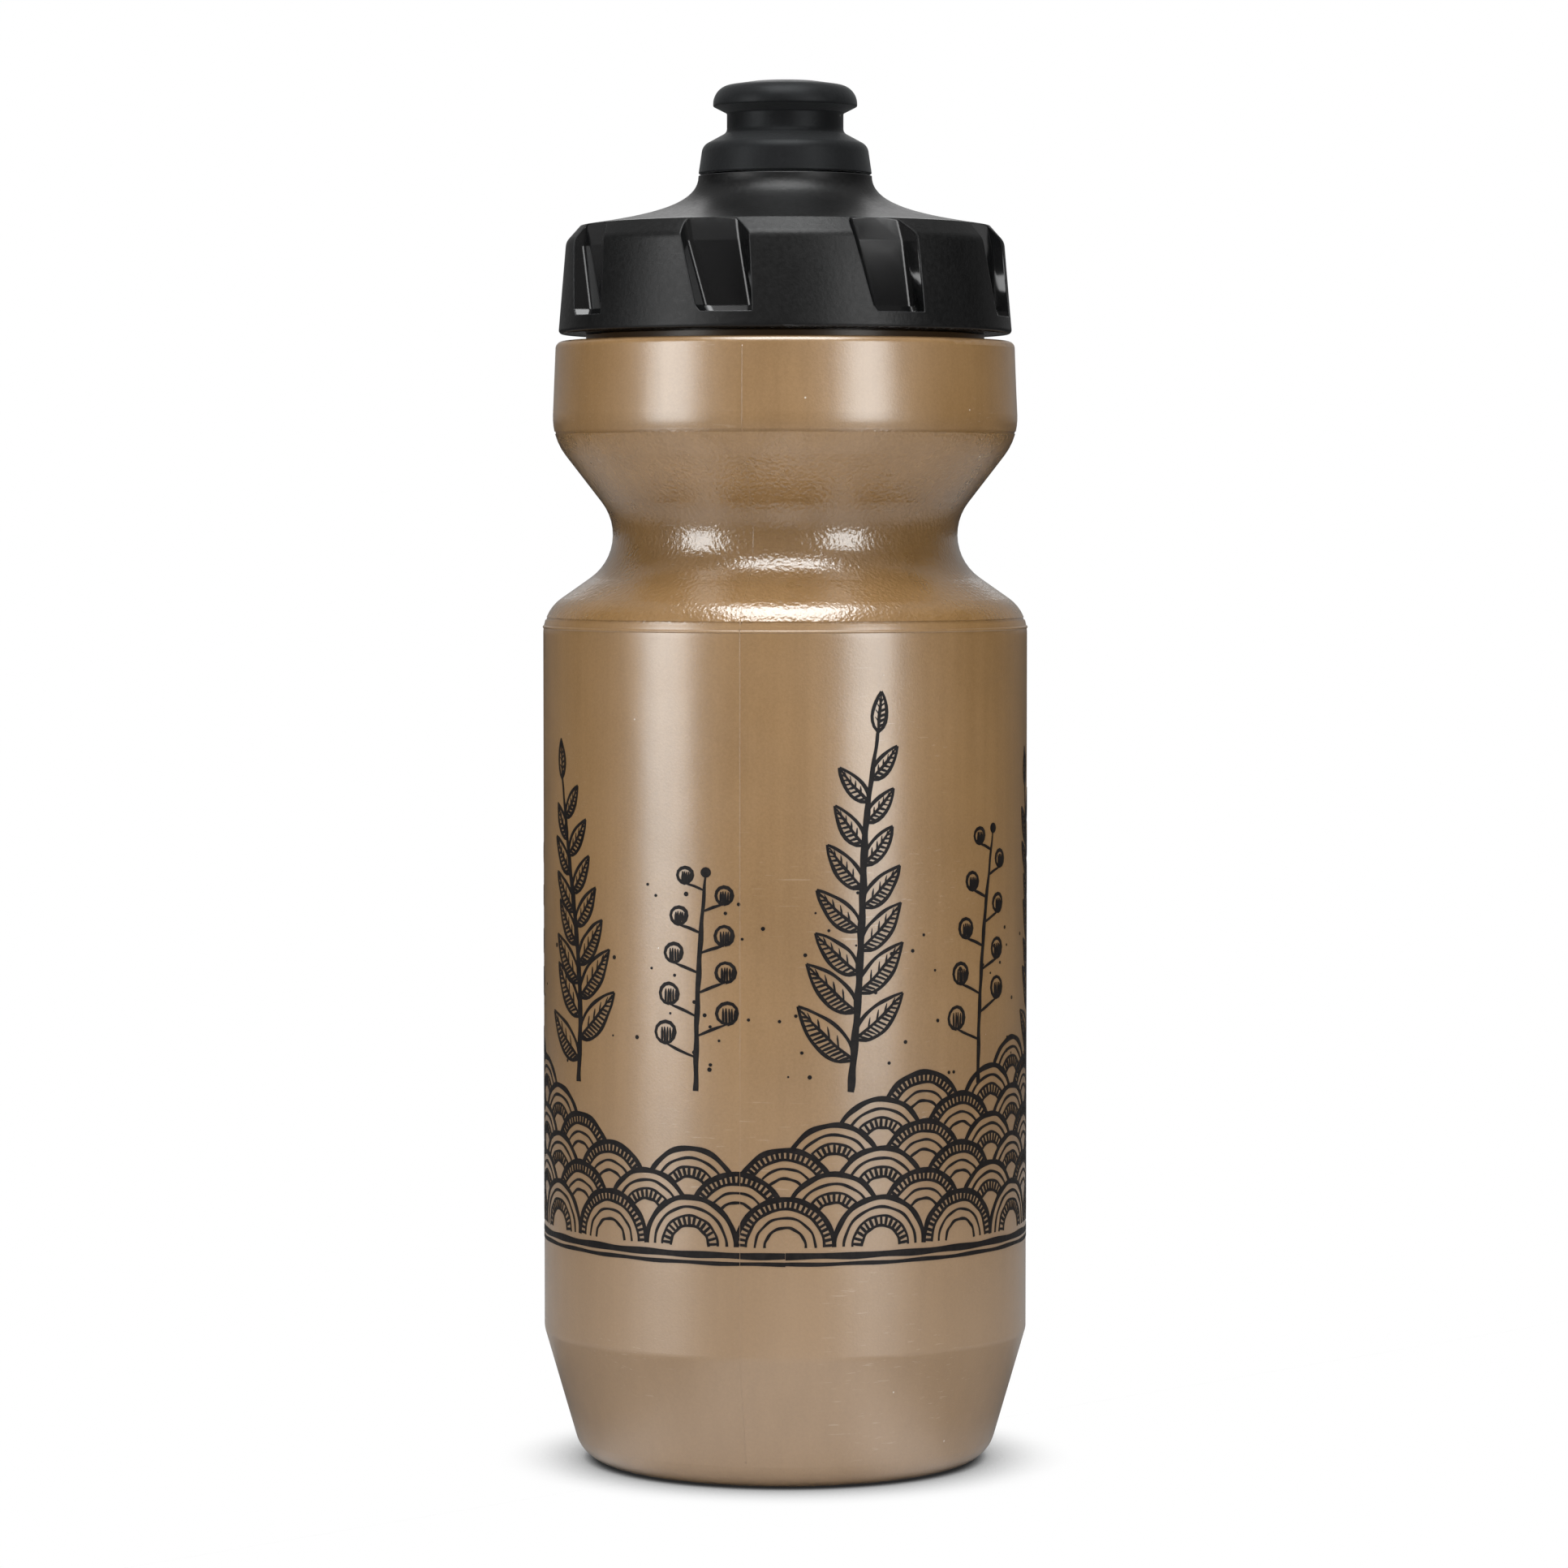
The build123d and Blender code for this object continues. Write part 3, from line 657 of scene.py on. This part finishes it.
def berry_sprig(sheet, across, foot, top, lean, count):
    """Thin branch with round berries on short stalks, half of each shaded."""
    rise = top - foot
    stem = [(across + lean * t * t, foot + rise * t) for t in (0, 0.3, 0.65, 1)]
    stem_run = smooth_run(stem)
    pen(sheet, stem, 0.6, 1.0, 0.4)
    for index in range(count):
        t = 0.18 + 0.80 * index / count
        side = 1 if index % 2 else -1
        root = stem_run[round(t * (len(stem_run) - 1))]
        stalk = 6.4 - 3.2 * t
        centre = (root[0] + side * stalk * 0.86, root[1] + stalk * 0.62)
        radius = 1.75 - 0.6 * t
        bend = (root[0] + side * stalk * 0.45, root[1] + stalk * 0.18)
        pen(sheet, [root, bend, (centre[0], centre[1] - radius)], 0.34)
        rim = []
        for hour in range(13):
            turn = hour * math.pi / 6
            rim.append((centre[0] + radius * math.sin(turn), centre[1] - radius * math.cos(turn)))
        pen(sheet, rim, 0.40, 0.9, 0.9)
        for line in range(5):
            off = radius * (-0.75 + 0.28 * line)
            reach = math.sqrt(radius * radius - off * off)
            foot_end = (centre[0] - off, centre[1] - reach)
            top_end = (centre[0] - off, centre[1] + reach * 0.5)
            pen(sheet, [foot_end, top_end], 0.28, 0.9, 0.4)
    dot(sheet, stem[-1], 0.8)


def scale_waves(sheet, foot, columns, low_rows, extra_rows):
    """Traditional overlapping wave scales: rows of arcs round the barrel, higher in two swells."""
    spacing = BARREL_ROUND / columns
    reach = spacing / 2

    def on_arc(centre, share, turn):
        """Point of a scale's arc at a share of its reach, turned from its left foot."""
        return (centre[0] - share * reach * math.cos(turn),
                centre[1] + share * reach * math.sin(turn))

    def rows_at(column):
        """Rows of scales that stand at a column."""
        swell = 0.5 + 0.5 * math.sin(4 * math.pi * column / columns - 0.9)
        return low_rows + round(extra_rows * swell)

    def hidden(point, row, column):
        """Whether a scale of a lower row, which lies in front, covers the point."""
        for step, sides in ((1, (-0.5, 0.5)), (2, (-1, 0, 1)), (3, (-1.5, -0.5, 0.5, 1.5))):
            lower = row - step
            if lower < 0:
                continue
            for side in sides:
                centre = ((column + side) * spacing, foot + lower * reach / 2)
                if math.dist(point, centre) < reach - 0.02:
                    return True
        return point[1] < foot

    for row in range(low_rows + extra_rows):
        for index in range(columns):
            column = index + 0.5 * (row % 2)
            if row >= rows_at(column):
                continue
            centre = (column * spacing, foot + row * reach / 2)
            for share, width in ((1.0, 0.62), (0.80, 0.34), (0.62, 0.30), (0.42, 0.34)):
                run = []
                for step in range(41):
                    point = on_arc(centre, share, math.pi * (step / 40 * 1.1 - 0.05))
                    if hidden(point, row, column):
                        if len(run) > 2:
                            pen(sheet, run, width, 0.9, 0.9, 1.0)
                        run = []
                    else:
                        run.append(point)
                if len(run) > 2:
                    pen(sheet, run, width, 0.9, 0.9, 1.0)
            if (index + row) % 2 == 0:
                near, far, lines = 0.80, 1.0, 26
            else:
                near, far, lines = 0.42, 0.62, 15
            for step in range(lines):
                turn = math.pi * (step + 0.5) / lines
                ends = [on_arc(centre, share, turn) for share in (near, far)]
                if not any(hidden(point, row, column) for point in ends):
                    pen(sheet, ends, 0.36, 0.9, 0.8)


# heights on the barrel, in mm
WAVES_FOOT = 37.0
WAVE_COLUMNS, WAVE_LOW_ROWS, WAVE_EXTRA_ROWS = 16, 3, 4
BORDER_LINES = ((34.6, 0.45), (35.8, 0.75))
BORDER_POINTS = 48
SPRIGS = 10
SPRIG_FOOT = 60.0
BERRY_TOP, LEAFY_TOP = 92.0, 108.0
BERRIES, LEAF_PAIRS = 9, 7
DOTS = 170
DOTS_LOW, DOTS_SPREAD = 62.0, 30.0


def print_design():
    """All printed pieces: the waves, the sprigs and the spray of dots."""
    waves, sprigs, spray = ([], []), ([], []), ([], [])
    scale_waves(waves, WAVES_FOOT, WAVE_COLUMNS, WAVE_LOW_ROWS, WAVE_EXTRA_ROWS)
    for height, width in BORDER_LINES:
        line = [(BARREL_ROUND * index / BORDER_POINTS, height)
                for index in range(BORDER_POINTS + 1)]
        pen(waves, line, width, 1.0, 1.0, 1.2)
    for index in range(SPRIGS):
        across = BARREL_ROUND * (index + 0.42) / SPRIGS
        if index % 2:
            top = BERRY_TOP + 7.0 * math.sin(index * 2.1)
            berry_sprig(sprigs, across, SPRIG_FOOT, top, 4.0 * math.sin(index * 1.7), BERRIES)
        else:
            top = LEAFY_TOP + 5.0 * math.cos(index * 1.3)
            leafy_sprig(sprigs, across, SPRIG_FOOT, top, 5.0 * math.cos(index * 1.9), LEAF_PAIRS)
    for _ in range(DOTS):
        centre = (draw.uniform(0, BARREL_ROUND), DOTS_LOW + DOTS_SPREAD * draw.random() ** 1.6)
        dot(spray, centre, draw.uniform(0.16, 0.36))
    sheets = {"printed_waves": waves, "printed_sprigs": sprigs, "printed_dots": spray}
    for name, (corners, faces) in sheets.items():
        add_piece(name, corners, faces, INK, "bottle", smooth=False)


print_design()


# ---------------------------------------------------------------- stage, light and camera
WHITE = (1, 1, 1, 1)
FLOOR_SIZE = 40.0
CONTACT_REACH = 20.0 * MM
LEFT_LAMP = -57
RIGHT_LAMP = 40


def seen_directly(tree):
    """One for rays from the camera, straight or through clear pieces."""
    path = node(tree, "ShaderNodeLightPath").outputs
    return calc(tree, "MAXIMUM", path["Is Camera Ray"], path["Is Transmission Ray"])


def in_gloss(tree):
    """One for rays that a glossy surface sends out."""
    return node(tree, "ShaderNodeLightPath").outputs["Is Glossy Ray"]


def lamp_sweep(tree, across, along):
    """Share of the table's shine round the bottle: more towards the lamps, less at the back."""
    turn = calc(tree, "ARCTAN2", across, calc(tree, "MULTIPLY", along, -1.0))
    sweep = ramp(tree, calc(tree, "ABSOLUTE", turn), 1.40, 2.00, 1.0, 0.65)
    for lamp_angle in (LEFT_LAMP, RIGHT_LAMP):
        off = calc(tree, "ABSOLUTE", calc(tree, "SUBTRACT", turn, math.radians(lamp_angle)))
        sweep = calc(tree, "ADD", sweep, ramp(tree, off, 0.10, 0.42, 0.62, 0.0))
    return sweep


def stage_floor():
    """White table: plain white round the bottle to the camera, with a contact shadow painted into
    its glow from occlusion; gloss sees a painted shine that fades outward, brighter towards the
    lamps and dimmer beside the bottle.
    """
    bpy.ops.mesh.primitive_plane_add(size=FLOOR_SIZE, location=(0, 0, cad_box[0][2]))
    floor = bpy.context.object
    floor.name = "studio_floor"
    material = bpy.data.materials.new("studio_floor_white")
    material.use_nodes = True
    tree = material.node_tree
    tree.nodes.clear()
    place = node(tree, "ShaderNodeTexCoord").outputs["Object"]
    radius, _ = split_place(tree, place)
    # painted contact shadow: the white glow drops where occlusion is high
    shut = node(tree, "ShaderNodeAmbientOcclusion", {"Distance": CONTACT_REACH}, samples=16)
    contact = ramp(tree, shut.outputs["AO"], 0.10, 0.80, 0.02, 1.0)
    # painted reflection for gloss: the table's shine fades outward, dims beside the bottle and
    # brightens towards the lamps
    across, along, _ = node(tree, "ShaderNodeSeparateXYZ", {0: place}).outputs
    aside = calc(tree, "ABSOLUTE", across)
    beside = ramp(tree, aside, 0.018, 0.046)
    near_side = calc(tree, "MULTIPLY", beside, ramp(tree, radius, 0.070, 0.095, 0.78, 0.42))
    mirrored = calc(tree, "MULTIPLY", contact, ramp(tree, radius, 0.16, 0.70, 1.0, 0.10))
    mirrored = calc(tree, "MULTIPLY", mirrored, calc(tree, "SUBTRACT", 1.0, near_side))
    mirrored = calc(tree, "MULTIPLY", mirrored, lamp_sweep(tree, across, along))
    lit = node(tree, "ShaderNodeBsdfDiffuse", {"Color": (0.85, 0.85, 0.85, 1)}).outputs[0]
    seen, glossy = (
        node(tree, "ShaderNodeEmission", {"Color": WHITE, "Strength": strength}).outputs[0]
        for strength in (contact, mirrored))
    look = node(tree, "ShaderNodeMixShader", {0: in_gloss(tree), 1: lit, 2: glossy}).outputs[0]
    look = node(tree, "ShaderNodeMixShader", {0: seen_directly(tree), 1: look, 2: seen}).outputs[0]
    node(tree, "ShaderNodeOutputMaterial", {0: look})
    floor.data.materials.append(material)


def stage_world():
    """White to the camera; else a dim grey room with dark sides, and a glow behind for gloss."""
    world = bpy.data.worlds.new("studio")
    bpy.context.scene.world = world
    world.use_nodes = True
    tree = world.node_tree
    tree.nodes.clear()
    direction = node(tree, "ShaderNodeTexCoord").outputs["Generated"]
    parts = node(tree, "ShaderNodeSeparateXYZ", {0: direction}).outputs
    side = calc(tree, "ABSOLUTE", parts[0])
    room = ramp(tree, side, 0.45, 0.95, 0.26, 0.10)
    middle = ramp(tree, side, 0.05, 0.30, 1.0, 0.0)
    behind = calc(tree, "MULTIPLY", middle, ramp(tree, parts[2], 0.12, 0.26))
    behind = calc(tree, "MULTIPLY", behind, ramp(tree, parts[1], 0.70, 0.90))
    glossy = calc(tree, "MULTIPLY", behind, in_gloss(tree))
    room = calc(tree, "ADD", room, calc(tree, "MULTIPLY", glossy, 1.5))
    sockets = {0: seen_directly(tree), 2: room, 3: 1.0}
    strength = node(tree, "ShaderNodeMix", sockets, data_type="FLOAT")
    glow = node(tree, "ShaderNodeBackground", {"Color": WHITE, "Strength": strength.outputs[0]})
    node(tree, "ShaderNodeOutputWorld", {0: glow.outputs[0]})


CARD_DISTANCE = 0.50
CARD_FOOT, CARD_TOP = 0.001, 0.55
CARD_STEPS = 12


def black_card(name, start, end):
    """Curved black card beside the bottle that only its gloss sees, so its sides stay dark."""
    corners, faces = [], []
    for index in range(CARD_STEPS + 1):
        angle = math.radians(start + (end - start) * index / CARD_STEPS)
        for height in (CARD_FOOT, CARD_TOP):
            corners.append(outward(angle) * CARD_DISTANCE + Vector((0, 0, height)))
    for index in range(CARD_STEPS):
        base = index * 2
        faces.append((base, base + 2, base + 3, base + 1))
    mesh = bpy.data.meshes.new(name)
    mesh.from_pydata(corners, [], faces)
    material, tree, shader, place = start_material(name + "_felt")
    felt = blend(tree, noise(tree, place, 60.0), (0.004, 0.004, 0.004, 1), (0.010, 0.010, 0.010, 1))
    feed(tree, shader, {"Base Color": felt})
    shader.inputs["Roughness"].default_value = 1.0
    shader.inputs["Specular IOR Level"].default_value = 0.0
    mesh.materials.append(material)
    card = bpy.data.objects.new(name, mesh)
    bpy.context.scene.collection.objects.link(card)
    card.visible_camera = False
    card.visible_diffuse = False
    card.visible_transmission = False
    card.visible_shadow = False


LAMP_COLOUR = (0.93, 0.98, 1.0)
LAMP_AIM = Vector((0, 0, 0.11))


def softbox(name, angle, distance, height, width, tall, power):
    """Rectangular soft light at an angle from the front, aimed at the bottle's middle."""
    lamp = bpy.data.lights.new(name, "AREA")
    lamp.shape = "RECTANGLE"
    lamp.color = LAMP_COLOUR
    lamp.size, lamp.size_y = width, tall
    lamp.energy = power
    made = bpy.data.objects.new(name, lamp)
    bpy.context.scene.collection.objects.link(made)
    made.location = outward(math.radians(angle)) * distance + Vector((0, 0, height))
    aim = LAMP_AIM - made.location
    made.rotation_euler = aim.to_track_quat("-Z", "Y").to_euler()
    return made


stage_floor()
stage_world()
black_card("left_black_card", -98, -122)
black_card("right_black_card", 80, 120)
softbox("left_softbox", LEFT_LAMP, 0.85, 0.16, 0.36, 0.80, 6.4)
softbox("right_softbox", RIGHT_LAMP, 0.90, 0.16, 0.35, 0.80, 6.4)
softbox("top_softbox", 0, 0.27, 0.95, 0.62, 0.60, 11.5)
back_softbox = softbox("back_softbox", 165, 0.85, 0.35, 0.55, 0.80, 2.6)
back_softbox.visible_glossy = False

VIEW_DISTANCE = 0.850
VIEW_DROP = math.radians(2.9)
VIEW_ASIDE = -0.00018
AIM_HEIGHT = 0.1036
SENSOR_WIDTH, LENS = 36.0, 127.48  # in mm
camera_data = bpy.data.cameras.new("camera")
camera_data.sensor_width = SENSOR_WIDTH
camera_data.lens = LENS
camera_data.clip_start = 0.01
camera = bpy.data.objects.new("camera", camera_data)
bpy.context.scene.collection.objects.link(camera)
view_height = AIM_HEIGHT + VIEW_DISTANCE * math.tan(VIEW_DROP)
camera.location = (VIEW_ASIDE, -VIEW_DISTANCE, view_height)
camera.rotation_euler = (math.pi / 2 - VIEW_DROP, 0, 0)
bpy.context.scene.camera = camera
bpy.context.scene.view_settings.view_transform = "Standard"
